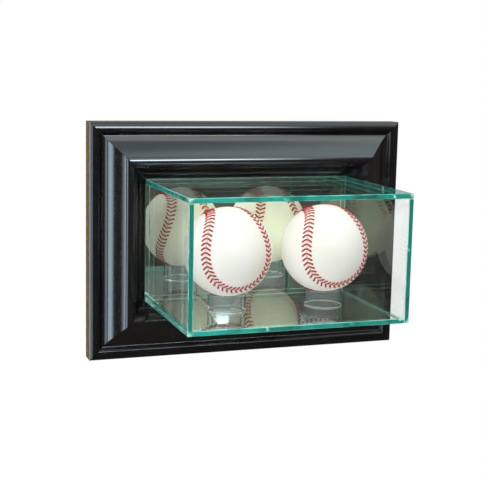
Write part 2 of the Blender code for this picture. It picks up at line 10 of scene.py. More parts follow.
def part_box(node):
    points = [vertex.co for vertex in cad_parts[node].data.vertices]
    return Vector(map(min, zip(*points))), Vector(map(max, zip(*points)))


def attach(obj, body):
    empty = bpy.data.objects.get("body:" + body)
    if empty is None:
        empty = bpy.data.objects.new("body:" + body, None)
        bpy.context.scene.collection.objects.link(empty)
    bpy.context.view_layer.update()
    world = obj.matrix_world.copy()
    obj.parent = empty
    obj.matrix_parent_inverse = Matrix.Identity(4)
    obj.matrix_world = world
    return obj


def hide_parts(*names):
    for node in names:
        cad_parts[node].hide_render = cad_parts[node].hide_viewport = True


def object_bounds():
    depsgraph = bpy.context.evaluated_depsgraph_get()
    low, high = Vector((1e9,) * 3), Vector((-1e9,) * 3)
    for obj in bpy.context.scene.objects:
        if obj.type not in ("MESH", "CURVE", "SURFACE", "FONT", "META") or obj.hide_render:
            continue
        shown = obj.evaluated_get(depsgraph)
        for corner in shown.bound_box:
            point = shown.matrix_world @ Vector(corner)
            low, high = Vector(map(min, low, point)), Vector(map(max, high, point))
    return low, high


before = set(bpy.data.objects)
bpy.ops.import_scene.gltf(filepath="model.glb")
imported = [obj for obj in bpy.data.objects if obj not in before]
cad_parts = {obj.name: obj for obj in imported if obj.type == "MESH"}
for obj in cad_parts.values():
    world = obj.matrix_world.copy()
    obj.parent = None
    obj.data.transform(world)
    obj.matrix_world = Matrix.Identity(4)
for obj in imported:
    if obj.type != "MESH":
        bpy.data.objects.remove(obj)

bl_info = {
    "name": "Baseball display case",
    "version": (1, 0, 0),
    "blender": (4, 5, 0),
    "location": "3D View > Sidebar > Display Case",
    "description": "Builds the visible pieces of a wall-hung baseball display case round its solid model",
    "category": "Object",
}

MM = 0.001
CAD_BOX = [list(corner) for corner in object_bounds()]
LEFT = Vector((-1, 0, 0))
RIGHT = Vector((1, 0, 0))
UP = Vector((0, 0, 1))
DOWN = Vector((0, 0, -1))

# Frame lengths: CAD node, and the way that its outer side faces.
LENGTHS = {
    "frame_top_rail": UP,
    "frame_bottom_rail": DOWN,
    "frame_left_stile": LEFT,
    "frame_right_stile": RIGHT}

# Panes: CAD node, the axis through its thickness, and the ends whose ground edge is open to the eye.
PANES = {
    "glass_top_pane": (2, (LEFT, RIGHT)),
    "glass_bottom_pane": (2, ()),
    "glass_left_pane": (0, (DOWN,)),
    "glass_right_pane": (0, (DOWN,)),
    "glass_front_pane": (1, ())}

# The seam's curve on a ball of radius 1, as in the solid model, and how the two balls lie on their risers.
SEAM_LOBE = 0.344
SEAM_SWING = 0.811
BALL_TURN = Euler((radians(-13.3), radians(-16.2), radians(-43.3)))

# The leather beside the seam: its swelling, its dip at the seam, and the stitches' holes.
SWELL_PLACE = 2.0 * MM
SWELL_WIDTH = 1.5 * MM
DIP_WIDTH = 0.55 * MM
HOLE_DEPTH = 0.3 * MM
HOLE_WIDTH = 0.6 * MM

# Rounding of edges, the risers' wall (an eighth of an inch), and the depth of the rabbet's bare wood.
SHEET_ROUND = 0.3 * MM
HANGER_ROUND = 0.15 * MM
NAIL_ROUND = 0.08 * MM
RISER_WALL = 0.0254 / 8
RABBET_FLOOR = -10.6 * MM

# Angles in degrees above which an edge stays sharp to the eye.
MOULDING_CREASE = 28
METAL_CREASE = 40
FIXING_CREASE = 35
RISER_CREASE = 50

# Fineness of the meshes, and when faces are flat to each other and points the same.
FLAT_ENOUGH = radians(0.4)
SEAM_SAMPLES = 2160
BALL_SUBDIVISIONS = 7
RISER_SIDES = 96
RIM_STEPS = 4
SCREW_SIDES = 24
MERGE_WITHIN = 2e-6

# The camera's place, turn to the right, tilt down, roll and shifts, solved from the outlines.
CAMERA_PLACE = (-0.32893, -0.93468, 0.06831)
CAMERA_TURN, CAMERA_DROP, CAMERA_ROLL = radians(19.252), radians(8.723), radians(1.214)
CAMERA_SHIFT = (0.0020, -0.0205)
FLOOR_SIZE = (0.9, 0.8)

# Lights that only gloss shows, near eye level: from and to in degrees from ahead, softness, and colour.
LOW_LIGHTS = (
    (-42, -29, 1.5, (1.4, 1.9, 2.1)),
    (-58, -47, 1.5, (3.1, 4.1, 4.6)),
    (-85, -69.3, 1.0, (3.5, 4.5, 5.0)))


def middle_of(node):
    """The middle of a CAD node."""
    low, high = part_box(node)
    return (low + high) / 2


class CaseSizes(bpy.types.PropertyGroup):
    """Sizes of the visible detail."""

    ball_diameter: bpy.props.FloatProperty(
        name="Ball diameter", description="Across the leather", default=73.7 * MM, unit="LENGTH")
    stitches: bpy.props.IntProperty(
        name="Stitches", description="V stitches round a ball's seam", default=108, min=40, max=200)
    stitch_reach: bpy.props.FloatProperty(
        name="Stitch reach", description="From the seam to a stitch's hole", default=4.2 * MM, unit="LENGTH")
    stitch_slant: bpy.props.FloatProperty(
        name="Stitch slant", description="How far a stitch's holes run ahead of its point", default=2.4 * MM,
        unit="LENGTH")
    thread: bpy.props.FloatProperty(
        name="Thread", description="Thickness of the waxed thread", default=1.6 * MM, unit="LENGTH")
    seam_rise: bpy.props.FloatProperty(
        name="Seam rise", description="How far the leather swells beside the seam", default=0.32 * MM,
        unit="LENGTH")
    seam_dip: bpy.props.FloatProperty(
        name="Seam dip", description="How far the leather dips at the seam", default=0.5 * MM, unit="LENGTH")
    arris: bpy.props.FloatProperty(
        name="Arris", description="Flat ground along a pane's edges", default=0.4 * MM, unit="LENGTH")
    rim_round: bpy.props.FloatProperty(
        name="Rim rounding", description="Rounding of the risers' rims", default=0.5 * MM, unit="LENGTH")
    metal_round: bpy.props.FloatProperty(
        name="Metal rounding", description="Rounding of the metal pieces' edges", default=0.25 * MM,
        unit="LENGTH")


class CaseColours(bpy.types.PropertyGroup):
    """Colours of the finishes."""

    lacquer: bpy.props.FloatVectorProperty(
        name="Lacquer", description="The moulding's black finish", default=(0.005, 0.005, 0.006),
        subtype="COLOR")
    side_stain: bpy.props.FloatVectorProperty(
        name="Side stain", description="The moulding's outer sides", default=(0.175, 0.1, 0.02),
        subtype="COLOR")
    bare_wood: bpy.props.FloatVectorProperty(
        name="Bare wood", description="The moulding's back", default=(0.52, 0.36, 0.2), subtype="COLOR")
    glass_tint: bpy.props.FloatVectorProperty(
        name="Glass tint", description="What a pane's face lets through", default=(0.985, 0.996, 0.99),
        subtype="COLOR")
    glass_edge: bpy.props.FloatVectorProperty(
        name="Glass edge", description="The bright teal of a pane's ground edge", default=(0.01, 0.37, 0.3),
        subtype="COLOR")
    glass_edge_dark: bpy.props.FloatVectorProperty(
        name="Glass edge, dark", description="The dark green in a pane's ground edge",
        default=(0.009, 0.13, 0.092), subtype="COLOR")
    mirror: bpy.props.FloatVectorProperty(
        name="Mirror", description="The mirror's tint", default=(0.92, 0.965, 0.86), subtype="COLOR")
    leather: bpy.props.FloatVectorProperty(
        name="Leather", description="The balls' covers", default=(0.88, 0.84, 0.8), subtype="COLOR")
    thread: bpy.props.FloatVectorProperty(
        name="Thread", description="The balls' stitches", default=(0.5, 0.012, 0.02), subtype="COLOR")
    zinc: bpy.props.FloatVectorProperty(
        name="Zinc", description="Screws, plates, nails and turn buttons", default=(0.62, 0.63, 0.65),
        subtype="COLOR")


class CaseStage(bpy.types.PropertyGroup):
    """Floor, light and camera."""

    floor_height: bpy.props.FloatProperty(
        name="Floor height", description="Of the floor below the case", default=-0.45, unit="LENGTH")
    ambient: bpy.props.FloatProperty(
        name="Ambient light", description="Level of the even light", default=0.62, min=0.0, max=2.0)
    key_power: bpy.props.FloatProperty(
        name="Key light", description="Power of the soft light at the left", default=9.0, unit="POWER")
    top_power: bpy.props.FloatProperty(
        name="Top light", description="Power of the soft light overhead", default=7.0, unit="POWER")
    lens: bpy.props.FloatProperty(
        name="Lens", description="The camera's focal length", default=82.70, min=10.0, max=300.0)


def sizes():
    """The sizes in use."""
    return bpy.context.scene.case_sizes


def colours():
    """The colours in use."""
    return bpy.context.scene.case_colours


def add(tree, kind, inputs=None, **settings):
    """Add a node, set it up, and give its inputs values or links."""
    made = tree.nodes.new(kind)
    for key, value in settings.items():
        setattr(made, key, value)
    for key, value in (inputs or {}).items():
        if isinstance(value, bpy.types.NodeSocket):
            tree.links.new(value, made.inputs[key])
        else:
            made.inputs[key].default_value = value
    return made


def out(tree, kind, inputs=None, **settings):
    """The first output of an added node."""
    return add(tree, kind, inputs, **settings).outputs[0]


def math(tree, operation, *values, clamp=False):
    """A sum of numbers or sockets."""
    return out(tree, "ShaderNodeMath", dict(enumerate(values)), operation=operation, use_clamp=clamp)


def times(tree, first, second):
    """Two values multiplied."""
    return math(tree, "MULTIPLY", first, second)


def blend_colour(tree, share, first, second):
    """A mix of two colours."""
    made = add(tree, "ShaderNodeMix", data_type="RGBA")
    for socket, value in ((made.inputs[0], share), (made.inputs[6], first), (made.inputs[7], second)):
        if isinstance(value, bpy.types.NodeSocket):
            tree.links.new(value, socket)
        elif socket == made.inputs[0]:
            socket.default_value = value
        else:
            socket.default_value = (*value, 1.0) if len(value) == 3 else value
    return made.outputs[2]


def ramp(tree, value, low, high, to_low=0.0, to_high=1.0):
    """A smooth step from one level to another."""
    return out(tree, "ShaderNodeMapRange", {0: value, 1: low, 2: high, 3: to_low, 4: to_high},
               interpolation_type="SMOOTHSTEP")


def object_place(tree, stretch=(1, 1, 1)):
    """Places on the piece, stretched where a pattern runs one way."""
    place = add(tree, "ShaderNodeTexCoord").outputs["Object"]
    return place if stretch == (1, 1, 1) else out(tree, "ShaderNodeMapping", {0: place, 3: stretch})


def noise(tree, scale, detail=3.0, roughness=0.5, stretch=(1, 1, 1)):
    """A soft random pattern."""
    return out(tree, "ShaderNodeTexNoise", {
        "Vector": object_place(tree, stretch), "Scale": scale, "Detail": detail, "Roughness": roughness})


def bump(tree, height, strength, distance, under=None):
    """Relief from a pattern."""
    inputs = {"Height": height, "Strength": strength, "Distance": distance}
    if under:
        inputs["Normal"] = under
    return out(tree, "ShaderNodeBump", inputs)


def principled(tree, colour, roughness, relief=None, **more):
    """The shader of most finishes. Its other inputs are named with underscores for spaces."""
    inputs = {"Base Color": colour, "Roughness": roughness}
    if relief:
        inputs["Normal"] = relief
    inputs.update((key.replace("_", " "), value) for key, value in more.items())
    return out(tree, "ShaderNodeBsdfPrincipled", inputs)


def over_clear(tree, share, tint, gloss):
    """A share of one shader over a clear one."""
    clear = out(tree, "ShaderNodeBsdfTransparent", {0: tint})
    return out(tree, "ShaderNodeMixShader", {0: share, 1: clear, 2: gloss})


def as_finish(build):
    """Turn a function that builds a shader into one that makes its material once, under its name."""

    def look(*kind):
        name = "_".join((build.__name__, *kind))
        made = bpy.data.materials.get(name)
        if not made:
            made = bpy.data.materials.new(name)
            made.use_nodes = True
            tree = made.node_tree
            tree.nodes.clear()
            add(tree, "ShaderNodeOutputMaterial", {"Surface": build(tree, *kind)})
        return made

    return look


def from_sides(tree, low, high):
    """How far each place lies inside a box's sides, across and upward, and its parts from its middle."""
    middle = (low + high) / 2
    moved = out(tree, "ShaderNodeMapping", {0: object_place(tree), 1: (-middle.x, 0, -middle.z)})
    parts = add(tree, "ShaderNodeSeparateXYZ", {0: moved}).outputs
    across = math(tree, "SUBTRACT", (high.x - low.x) / 2, math(tree, "ABSOLUTE", parts[0]))
    upward = math(tree, "SUBTRACT", (high.z - low.z) / 2, math(tree, "ABSOLUTE", parts[2]))
    return across, upward, parts


@as_finish
def black_lacquer(tree):
    """Gloss black with fine orange peel, duller in the grooves, where it was rubbed down less."""
    across, upward, _ = from_sides(tree, *(Vector(corner) for corner in CAD_BOX))
    inward = math(tree, "MINIMUM", across, upward)
    # In from the outer edge, the bead ends at about 6.5 mm and the scoop runs from 11 to 35 mm.
    bead = ramp(tree, inward, 5.5 * MM, 7.5 * MM, 1.0, 0.0)
    scoop = times(tree, ramp(tree, inward, 10.4 * MM, 11.6 * MM),
                  ramp(tree, inward, 34.0 * MM, 36.0 * MM, 1.0, 0.0))
    shine = ramp(tree, math(tree, "ADD", times(tree, bead, 0.5), scoop), 0.0, 1.0, 0.3, 1.0)
    peel = noise(tree, 420.0, 1.0)
    broad = noise(tree, 60.0, 3.0)
    colour = blend_colour(tree, ramp(tree, broad, 0.35, 0.75), colours().lacquer, (0.009, 0.008, 0.0075))
    rough = ramp(tree, noise(tree, 300.0, 3.0), 0.3, 0.7, 0.07, 0.1)
    relief = bump(tree, peel, 0.03, 0.00005)
    return principled(tree, colour, rough, relief, Specular_IOR_Level=shine)


@as_finish
def side_stain(tree):
    """Brown-black stain on the moulding's outer sides."""
    grain = noise(tree, 240.0, 5.0, 0.65)
    dark = tuple(c * 0.5 for c in colours().side_stain)
    colour = blend_colour(tree, ramp(tree, grain, 0.38, 0.66), dark, colours().side_stain)
    return principled(tree, colour, 0.6, bump(tree, grain, 0.25, 0.0003), Specular_IOR_Level=0.2)


@as_finish
def bare_wood(tree, kind):
    """Unpainted softwood on the moulding's back, its grain running with the length."""
    stretch = (0.06, 1, 1) if kind == "rail" else (1, 1, 0.06)
    grain = noise(tree, 420.0, 6.0, 0.6, stretch)
    rings = noise(tree, 90.0, 3.0, 0.5, stretch)
    pale = colours().bare_wood
    dark = tuple(c * 0.62 for c in pale)
    colour = blend_colour(tree, ramp(tree, rings, 0.4, 0.62), pale, dark)
    colour = blend_colour(tree, ramp(tree, grain, 0.45, 0.75, 0.0, 0.6), colour, tuple(c * 0.5 for c in pale))
    return principled(tree, colour, 0.75, bump(tree, grain, 0.3, 0.0003))


def gloss_share(tree, power, lowest, highest):
    """How much a clear face reflects: little face on, and much at a slant. Also how far the face slants."""
    facing = add(tree, "ShaderNodeLayerWeight", {"Blend": 0.5}).outputs["Facing"]
    return math(tree, "MULTIPLY_ADD", math(tree, "POWER", facing, power), highest - lowest, lowest), facing


@as_finish
def pane_face(tree):
    """Clear float glass with a breath of green."""
    gloss = principled(tree, (0.9, 0.97, 0.94, 1), 0.015, Metallic=1.0)
    share, _ = gloss_share(tree, 4.2, 0.022, 1.0)
    return over_clear(tree, share, (*colours().glass_tint, 1), gloss)


@as_finish
def pane_edge(tree):
    """Ground edges that carry light as teal, with darker runs, darker upright edges, painted shade towards
    the right, painted glints, and pale glue at the box's corners.
    """
    low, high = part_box("glass_top_pane")
    low.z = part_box("glass_bottom_pane")[0].z
    half = (high.x - low.x) / 2
    runs = noise(tree, 38.0, 3.0, 0.6)
    specks = noise(tree, 900.0, 2.0)
    aside, below, parts = from_sides(tree, low, high)
    upright = ramp(tree, below, 3.4 * MM, 5.0 * MM, 0.0, 0.75)
    # Painted shade: the edges darken towards the right, away from the lamps at the left, added to the darker
    # runs.
    painted_shade_rightward = ramp(tree, parts[0], -half, half, 0.0, 0.5)
    runs_and_painted_shade = math(tree, "ADD", painted_shade_rightward, ramp(tree, runs, 0.48, 0.66, 0.0, 0.6))
    dark = math(tree, "MAXIMUM", upright, runs_and_painted_shade, clamp=True)
    colour = blend_colour(tree, dark, colours().glass_edge, colours().glass_edge_dark)
    chips = ramp(tree, noise(tree, 330.0, 1.0), 0.5, 0.58, 0.0, 0.8)
    deep = ramp(tree, parts[1], low.y + 3 * MM, low.y + 9 * MM)
    colour = blend_colour(tree, times(tree, chips, deep), colour, (0.004, 0.06, 0.055))
    # Painted glints: bright teal spots stand in for light catching the ground edge.
    painted_glints = ramp(tree, noise(tree, 120.0, 1.0), 0.68, 0.76, 0.0, 0.8)
    colour = blend_colour(tree, painted_glints, colour, (0.25, 0.9, 0.8))
    behind = times(tree, math(tree, "SUBTRACT", parts[1], low.y), 0.8)
    reach = math(tree, "ADD", math(tree, "ABSOLUTE", aside), math(tree, "ABSOLUTE", below))
    reach = math(tree, "ADD", reach, behind)
    reach = math(tree, "ADD", reach, times(tree, noise(tree, 300.0), 0.006))
    glue = ramp(tree, reach, 0.005, 0.009, 0.7, 0.0)
    colour = blend_colour(tree, glue, colour, (0.72, 0.9, 0.82))
    rough = ramp(tree, specks, 0.3, 0.7, 0.12, 0.35)
    return principled(tree, colour, rough, bump(tree, specks, 0.2, 0.0001))


@as_finish
def pane_arris(tree):
    """The pale line of a ground arris: partly its own frosted grind, partly a painted highlight where the
    arris glints.
    """
    run = noise(tree, 55.0, 2.0)
    colour = blend_colour(tree, ramp(tree, run, 0.4, 0.62), (0.24, 0.60, 0.5), (0.03, 0.3, 0.24))
    return principled(tree, colour, 0.3)


@as_finish
def mirror_face(tree):
    """Silvering seen through faintly green glass."""
    haze = noise(tree, 14.0, 3.0)
    tint = colours().mirror
    colour = blend_colour(tree, haze, tuple(tint), tuple(c * 0.94 for c in tint))
    return principled(tree, colour, 0.012, Metallic=1.0)


@as_finish
def mirror_backing(tree):
    """Grey paint over the silvering."""
    brushed = noise(tree, 260.0, 4.0, stretch=(1, 1, 0.15))
    colour = blend_colour(tree, brushed, (0.16, 0.17, 0.18), (0.23, 0.24, 0.25))
    return principled(tree, colour, 0.55, bump(tree, brushed, 0.2, 0.0002))


@as_finish
def pressed_fibre(tree):
    """Pressed brown fibre."""
    fibres = noise(tree, 620.0, 6.0, 0.7)
    clouds = noise(tree, 45.0, 3.0)
    colour = blend_colour(tree, ramp(tree, fibres, 0.35, 0.68), (0.2, 0.115, 0.055), (0.4, 0.26, 0.145))
    colour = blend_colour(tree, ramp(tree, clouds, 0.35, 0.7, 0.0, 0.35), colour, (0.16, 0.095, 0.05))
    return principled(tree, colour, 0.72, bump(tree, fibres, 0.35, 0.0003))


@as_finish
def zinc_plate(tree):
    """Zinc plate, with a spangle and light scuffs."""
    spangle = noise(tree, 520.0, 2.0)
    scuffs = noise(tree, 1500.0, 3.0, stretch=(0.12, 1, 1))
    dark = tuple(c * 0.72 for c in colours().zinc)
    colour = blend_colour(tree, ramp(tree, spangle, 0.35, 0.7), colours().zinc, dark)
    rough = ramp(tree, scuffs, 0.3, 0.7, 0.24, 0.42)
    return principled(tree, colour, rough, bump(tree, scuffs, 0.12, 0.00008), Metallic=1.0)


@as_finish
def set_sealant(tree):
    """Clear set sealant."""
    body = principled(tree, (0.3, 0.36, 0.34, 1), 0.2, bump(tree, noise(tree, 320.0, 2.0), 0.5, 0.0005))
    return over_clear(tree, 0.05, (0.82, 0.92, 0.87, 1), body)


@as_finish
def polished_acrylic(tree):
    """Polished acrylic: clear face on, with lines of light where its wall is at a slant."""
    waves = noise(tree, 120.0, 2.0, stretch=(1, 1, 0.2))
    share, slant = gloss_share(tree, 3.0, 0.045, 0.55)
    tint = blend_colour(tree, ramp(tree, slant, 0.45, 1.0), (0.985, 0.99, 0.985), (0.62, 0.68, 0.66))
    metal = ramp(tree, slant, 0.25, 0.75)
    body = principled(tree, (0.78, 0.88, 0.9, 1), 0.05, bump(tree, waves, 0.06, 0.0004), Metallic=metal)
    return over_clear(tree, share, tint, body)


@as_finish
def sawn_acrylic(tree):
    """The tube's sawn rims, which catch the light."""
    saw = noise(tree, 1600.0, 2.0, stretch=(1, 0.2, 1))
    colour = blend_colour(tree, saw, (0.88, 0.86, 0.78), (0.98, 0.97, 0.92))
    return principled(tree, colour, 0.4, bump(tree, saw, 0.3, 0.0002), IOR=1.49, Transmission_Weight=0.35)


@as_finish
def ball_leather(tree):
    """White leather: fine pores, faint creases, a warm tint beside the seam, and painted shade in the seam's
    slit.
    """
    pores = add(tree, "ShaderNodeTexVoronoi", {"Vector": object_place(tree), "Scale": 900.0},
                feature="DISTANCE_TO_EDGE")
    creases = noise(tree, 130.0, 5.0, 0.6)
    clouds = noise(tree, 28.0, 3.0)
    from_seam = add(tree, "ShaderNodeAttribute", attribute_name="from_seam").outputs["Fac"]
    base = colours().leather
    warm = (base[0] * 0.93, base[1] * 0.9, base[2] * 0.82)
    colour = blend_colour(tree, ramp(tree, clouds, 0.4, 0.75, 0.0, 0.7), tuple(base), warm)
    near = ramp(tree, from_seam, 0.4 * MM, 1.6 * MM, 0.3, 0.0)
    colour = blend_colour(tree, near, colour, (0.62, 0.42, 0.35))
    # Painted shade: the slit where the two covers meet is darkened.
    painted_slit_shade = ramp(tree, from_seam, 0.12 * MM, 0.4 * MM, 0.6, 0.0)
    colour = blend_colour(tree, painted_slit_shade, colour, (0.2, 0.1, 0.08))
    relief = bump(tree, pores.outputs["Distance"], 0.12, 0.0001, bump(tree, creases, 0.1, 0.0004))
    rough = ramp(tree, creases, 0.3, 0.7, 0.38, 0.52)
    return principled(tree, colour, rough, relief, Subsurface_Weight=0.04, Subsurface_Scale=0.001)


@as_finish
def waxed_thread(tree):
    """Waxed red thread with its ply showing."""
    ply = noise(tree, 2600.0, 2.0)
    base = tuple(colours().thread)
    colour = blend_colour(tree, ramp(tree, ply, 0.35, 0.7), base, tuple(c * 0.6 for c in base))
    return principled(tree, colour, 0.55, bump(tree, ply, 0.4, 0.00015), Specular_IOR_Level=0.3)


@as_finish
def pale_floor(tree):
    """The stage's floor."""
    grain = noise(tree, 6.0, 2.0)
    colour = blend_colour(tree, grain, (0.8, 0.8, 0.79), (0.84, 0.84, 0.83))
    return principled(tree, colour, 0.8)


def new_object(name, mesh, finishes):
    """An object at the origin with its finishes."""
    made = bpy.data.objects.new(name, mesh)
    bpy.context.scene.collection.objects.link(made)
    for look in finishes:
        mesh.materials.append(look)
    return made


def mark(mesh, label, kind, values):
    """Give each of a mesh's points a value or a vector."""
    attribute = mesh.attributes.new(label, kind, "POINT")
    attribute.data.foreach_set("vector" if kind == "FLOAT_VECTOR" else "value", values)


def loose_points(name, places):
    """An object that is loose points."""
    mesh = bpy.data.meshes.new(name)
    mesh.from_pydata([tuple(place) for place in places], [], [])
    return new_object(name, mesh, [])


def seat(piece, body, slot, *nodes):
    """Tie a finished piece to its body and hide the solids that it stands for. Its slot is not used."""
    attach(piece, body)
    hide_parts(*nodes)
    return piece


def merged_copy(node):
    """A copy of a CAD node's mesh whose triangles are joined."""
    shape = bmesh.new()
    shape.from_mesh(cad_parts[node].data)
    bmesh.ops.remove_doubles(shape, verts=shape.verts, dist=MERGE_WITHIN)
    return shape


def plain_mesh(name, shape, smooth=None):
    """A mesh from a bmesh, shaded smooth up to an angle where one is given."""
    mesh = bpy.data.meshes.new(name)
    shape.to_mesh(mesh)
    shape.free()
    if smooth:
        mesh.shade_smooth()
        mesh.set_sharp_from_angle(angle=radians(smooth))
    return mesh


def rounded_copy(node, width):
    """A merged copy of a CAD node whose sharp edges are rounded."""
    shape = merged_copy(node)
    bmesh.ops.dissolve_limit(shape, angle_limit=radians(1), verts=shape.verts, edges=shape.edges)
    sharp = [e for e in shape.edges if len(e.link_faces) == 2 and e.calc_face_angle() > radians(50)]
    bmesh.ops.bevel(shape, geom=sharp, offset=width, segments=2, profile=0.6, affect="EDGES",
                    clamp_overlap=True)
    bmesh.ops.triangulate(shape, faces=[f for f in shape.faces if len(f.verts) > 4])
    return shape


def make_plain(holder):
    """Turn an object with a node tree into a plain mesh."""
    graph = bpy.context.evaluated_depsgraph_get()
    mesh = bpy.data.meshes.new_from_object(holder.evaluated_get(graph), depsgraph=graph)
    holder.modifiers.clear()
    holder.data = mesh
    return holder


def new_tree(name, inputs):
    """A Geometry Nodes tree with its own named inputs, and its two ends."""
    tree = bpy.data.node_groups.new(name, "GeometryNodeTree")
    tree.interface.new_socket("Geometry", in_out="INPUT", socket_type="NodeSocketGeometry")
    for label, kind, value in inputs:
        socket = tree.interface.new_socket(label, in_out="INPUT", socket_type="NodeSocket" + kind)
        if value is not None:
            socket.default_value = value
    tree.interface.new_socket("Geometry", in_out="OUTPUT", socket_type="NodeSocketGeometry")
    return tree, tree.nodes.new("NodeGroupInput").outputs


def end_tree(tree, geometry, look):
    """Real geometry with its material, at the end of a tree."""
    real = out(tree, "GeometryNodeRealizeInstances", {0: geometry})
    dressed = out(tree, "GeometryNodeSetMaterial", {"Geometry": real, "Material": look})
    add(tree, "NodeGroupOutput", {0: dressed})


def use_tree(holder, tree, values):
    """Put a tree on an object and set its inputs."""
    step = holder.modifiers.new(tree.name, "NODES")
    step.node_group = tree
    for item in tree.interface.items_tree:
        if item.item_type == "SOCKET" and item.in_out == "INPUT" and item.name in values:
            step[item.identifier] = values[item.name]


def fixings_tree():
    """One fixing at each point, turned in the wall's plane."""
    tree, given = new_tree("set_out_fixings", [
        ("Fixing", "Object", None), ("Size", "Float", 1.0), ("Finish", "Material", None)])
    turn = out(tree, "GeometryNodeInputNamedAttribute", {"Name": "turn"}, data_type="FLOAT")
    lean = out(tree, "ShaderNodeCombineXYZ", {"Y": turn})
    shape = add(tree, "GeometryNodeObjectInfo", {"Object": given["Fixing"]}).outputs["Geometry"]
    rotation = out(tree, "FunctionNodeEulerToRotation", {0: lean})
    placed = out(tree, "GeometryNodeInstanceOnPoints", {
        "Points": given["Geometry"], "Instance": shape, "Rotation": rotation, "Scale": given["Size"]})
    end_tree(tree, placed, given["Finish"])
    return tree


def stitches_tree():
    """A V of two thread legs at each point of the seam, its point ahead along the seam."""
    tree, given = new_tree("stitch_the_seam", [
        ("Reach", "Float", 0.003), ("Slant", "Float", 0.002), ("Thread", "Float", 0.0009),
        ("Lift", "Float", 0.0005), ("Sink", "Float", 0.0006), ("Finish", "Material", None)])
    half = times(tree, given["Thread"], 0.5)
    down = times(tree, given["Sink"], -1.0)
    back = times(tree, given["Slant"], -1.0)
    midway = times(tree, given["Slant"], -0.42)
    legs = []
    for side in (-1.0, 1.0):
        far = times(tree, given["Reach"], side)
        mid = times(tree, given["Reach"], side * 0.5)
        near = times(tree, half, side * 0.6)
        start = out(tree, "ShaderNodeCombineXYZ", {0: back, 1: far, 2: down})
        top = out(tree, "ShaderNodeCombineXYZ", {0: midway, 1: mid, 2: given["Lift"]})
        end = out(tree, "ShaderNodeCombineXYZ", {0: 0.0, 1: near, 2: down})
        legs.append(out(tree, "GeometryNodeCurveQuadraticBezier", {
            "Resolution": 7, "Start": start, "Middle": top, "End": end}))
    both = tree.nodes.new("GeometryNodeJoinGeometry")
    for leg in legs:
        tree.links.new(leg, both.inputs[0])
    round_wire = out(tree, "GeometryNodeCurvePrimitiveCircle", {"Resolution": 7, "Radius": half})
    thread = out(tree, "GeometryNodeCurveToMesh", {
        "Curve": both.outputs[0], "Profile Curve": round_wire, "Fill Caps": True})
    rise = out(tree, "GeometryNodeInputNamedAttribute", {"Name": "rise"}, data_type="FLOAT_VECTOR")
    along = out(tree, "GeometryNodeInputNamedAttribute", {"Name": "along"}, data_type="FLOAT_VECTOR")
    rotation = out(tree, "FunctionNodeAxesToRotation", {"Primary Axis": rise, "Secondary Axis": along},
                   primary_axis="Z", secondary_axis="X")
    placed = out(tree, "GeometryNodeInstanceOnPoints", {
        "Points": given["Geometry"], "Instance": thread, "Rotation": rotation})
    real = out(tree, "GeometryNodeRealizeInstances", {0: placed})
    smooth = out(tree, "GeometryNodeSetShadeSmooth", {0: real})
    end_tree(tree, smooth, given["Finish"])
    return tree


def bead_tree():
    """A run of sealant round the box, laid in the corner between the glass and the frame's lip."""
    tree, given = new_tree("bead_round_the_box", [
        ("Width", "Float", 0.19), ("Height", "Float", 0.1), ("Bead", "Float", 0.0012),
        ("Middle", "Vector", None), ("Finish", "Material", None)])
    path = out(tree, "GeometryNodeCurvePrimitiveQuadrilateral", {
        "Width": given["Width"], "Height": given["Height"]})
    eased = out(tree, "GeometryNodeFilletCurve", {
        "Curve": path, "Radius": given["Bead"], "Count": 4}, mode="POLY")
    radius = times(tree, given["Bead"], 0.5)
    section = out(tree, "GeometryNodeCurvePrimitiveCircle", {"Resolution": 10, "Radius": radius})
    swept = out(tree, "GeometryNodeCurveToMesh", {"Curve": eased, "Profile Curve": section})
    stood = out(tree, "GeometryNodeTransform", {
        "Geometry": swept, "Translation": given["Middle"], "Rotation": (pi / 2, 0, 0)})
    smooth = out(tree, "GeometryNodeSetShadeSmooth", {0: stood})
    end_tree(tree, smooth, given["Finish"])
    return tree


def make_piece(name, shape, finishes, body, slot, node, smooth=None):
    """A finished piece from a bmesh, seated in place of a CAD node."""
    return seat(new_object(name, plain_mesh(node, shape, smooth), finishes), body, slot, node)


def turned_about_y(profile, sides):
    """A shape turned about Y from (radius, y) points whose ends lie on the axis."""
    shape = bmesh.new()
    rings = []
    for radius, y in profile:
        if radius == 0:
            rings.append([shape.verts.new((0, y, 0))] * sides)
        else:
            turns = [2 * pi * i / sides for i in range(sides)]
            rings.append([shape.verts.new((radius * cos(a), y, radius * sin(a))) for a in turns])
    for near, far in zip(rings, rings[1:]):
        for i in range(sides):
            corners = dict.fromkeys((near[i - 1], far[i - 1], far[i], near[i]))
            shape.faces.new(tuple(corners))
    bmesh.ops.recalc_face_normals(shape, faces=shape.faces)
    return shape


def cross_recess(shape, top, width, depth):
    """Cut a cross into a screw head whose flat top looks along +Y."""
    mesh = plain_mesh("head", shape)
    head = new_object("head", mesh, [])
    cutter_shape = bmesh.new()
    for turn in (0, pi / 2):
        size = Matrix.Diagonal((width, depth * 2, width * 0.24, 1.0))
        place = Matrix.Translation((0, top, 0)) @ Matrix.Rotation(turn, 4, "Y")
        bmesh.ops.create_cube(cutter_shape, size=1.0, matrix=place @ size)
    cutter = new_object("cross", plain_mesh("cross", cutter_shape), [])
    step = head.modifiers.new("cross", "BOOLEAN")
    step.object = cutter
    step.solver = "EXACT"
    step.use_self = True
    make_plain(head)
    result = head.data
    bpy.data.objects.remove(head)
    bpy.data.objects.remove(cutter)
    return result


def outer_face(node):
    """The middle of the face of a CAD node that looks at the wall."""
    low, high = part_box(node)
    return Vector(((low.x + high.x) / 2, high.y, (low.z + high.z) / 2))


def plate_in_zinc(node, name, width, body):
    """A CAD node's plate with its edges rounded."""
    make_piece(name, rounded_copy(node, width), [zinc_plate()], body, "zinc_plated_steel", node, METAL_CREASE)


